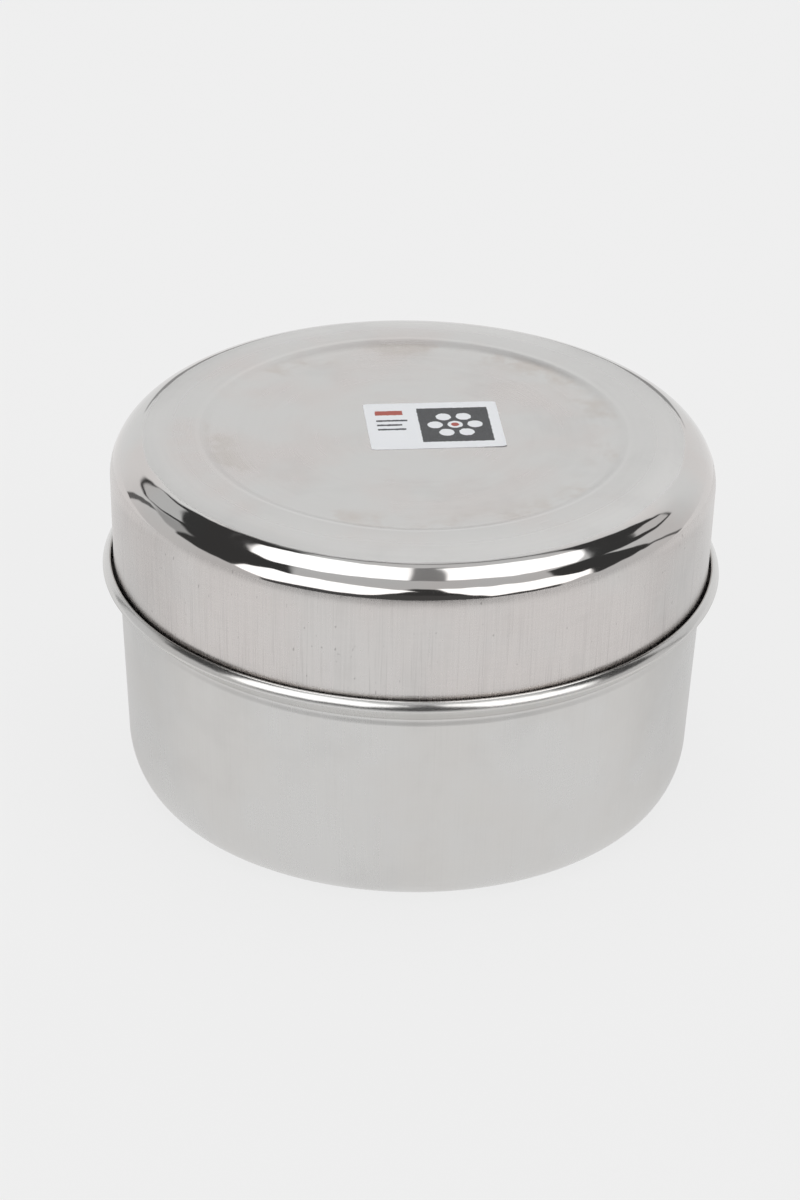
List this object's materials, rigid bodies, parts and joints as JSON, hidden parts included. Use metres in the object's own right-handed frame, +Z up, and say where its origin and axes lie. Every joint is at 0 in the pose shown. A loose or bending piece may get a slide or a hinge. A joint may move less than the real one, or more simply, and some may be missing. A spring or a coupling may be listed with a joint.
{
  "type": "spice box",
  "caption": "Round steel spice box with a rolled-rim base, a deep drop-in lid, a flat inner lid with a strap handle, a spoon and small cups.",
  "frame": {"origin": "centre of the base's underside, where the box stands", "axes": "+Z up along the box's axis; the label's long side lies roughly along X"},
  "size_m": [0.192, 0.192, 0.117],
  "materials": {
    "base_steel": "satin, polished rim",
    "lid_steel": "satin, polished shoulder",
    "inner_lid_steel": "satin",
    "handle_steel": "polished",
    "spoon_steel": "polished",
    "cup_steel": "polished rim, satin wall",
    "label_paper": "matt coated"
  },
  "bodies": {
    "base": {"base_box": "base_steel"},
    "outer_lid": {"outer_lid": "lid_steel", "lid_label": "label_paper"},
    "inner_lid": {"inner_lid": "inner_lid_steel", "inner_lid_handle": "handle_steel"},
    "spoon": {"spice_spoon": "spoon_steel"},
    "cup_centre": {"cup_centre": "cup_steel"},
    "cup_1": {"cup_1": "cup_steel"},
    "cup_2": {"cup_2": "cup_steel"},
    "cup_3": {"cup_3": "cup_steel"},
    "cup_4": {"cup_4": "cup_steel"},
    "cup_5": {"cup_5": "cup_steel"},
    "cup_6": {"cup_6": "cup_steel"}
  },
  "joints": [
    {"name": "outer_lid_lift", "type": "slide", "parent": "base", "child": "outer_lid", "axis": [0, 0, 1], "range_m": [0, 0.27]},
    {"name": "inner_lid_lift", "type": "slide", "parent": "base", "child": "inner_lid", "axis": [0, 0, 1], "range_m": [0, 0.17]},
    {"name": "spoon_lift", "type": "slide", "parent": "inner_lid", "child": "spoon", "axis": [0, 0, 1], "range_m": [0, 0.045]},
    {"name": "cup_centre_lift", "type": "slide", "parent": "base", "child": "cup_centre", "axis": [0, 0, 1], "range_m": [0, 0.12]},
    {"name": "cup_1_lift", "type": "slide", "parent": "base", "child": "cup_1", "axis": [0, 0, 1], "range_m": [0, 0.085]},
    {"name": "cup_2_lift", "type": "slide", "parent": "base", "child": "cup_2", "axis": [0, 0, 1], "range_m": [0, 0.085]},
    {"name": "cup_3_lift", "type": "slide", "parent": "base", "child": "cup_3", "axis": [0, 0, 1], "range_m": [0, 0.085]},
    {"name": "cup_4_lift", "type": "slide", "parent": "base", "child": "cup_4", "axis": [0, 0, 1], "range_m": [0, 0.085]},
    {"name": "cup_5_lift", "type": "slide", "parent": "base", "child": "cup_5", "axis": [0, 0, 1], "range_m": [0, 0.085]},
    {"name": "cup_6_lift", "type": "slide", "parent": "base", "child": "cup_6", "axis": [0, 0, 1], "range_m": [0, 0.085]}
  ],
  "couplings": [
    {"joint": "inner_lid_lift", "follows": "outer_lid_lift", "ratio": 0.6},
    {"joint": "spoon_lift", "follows": "outer_lid_lift", "ratio": 0.15},
    {"joint": "cup_centre_lift", "follows": "outer_lid_lift", "ratio": 0.42},
    {"joint": "cup_1_lift", "follows": "outer_lid_lift", "ratio": 0.3},
    {"joint": "cup_2_lift", "follows": "outer_lid_lift", "ratio": 0.3},
    {"joint": "cup_3_lift", "follows": "outer_lid_lift", "ratio": 0.3},
    {"joint": "cup_4_lift", "follows": "outer_lid_lift", "ratio": 0.3},
    {"joint": "cup_5_lift", "follows": "outer_lid_lift", "ratio": 0.3},
    {"joint": "cup_6_lift", "follows": "outer_lid_lift", "ratio": 0.3}
  ]
}
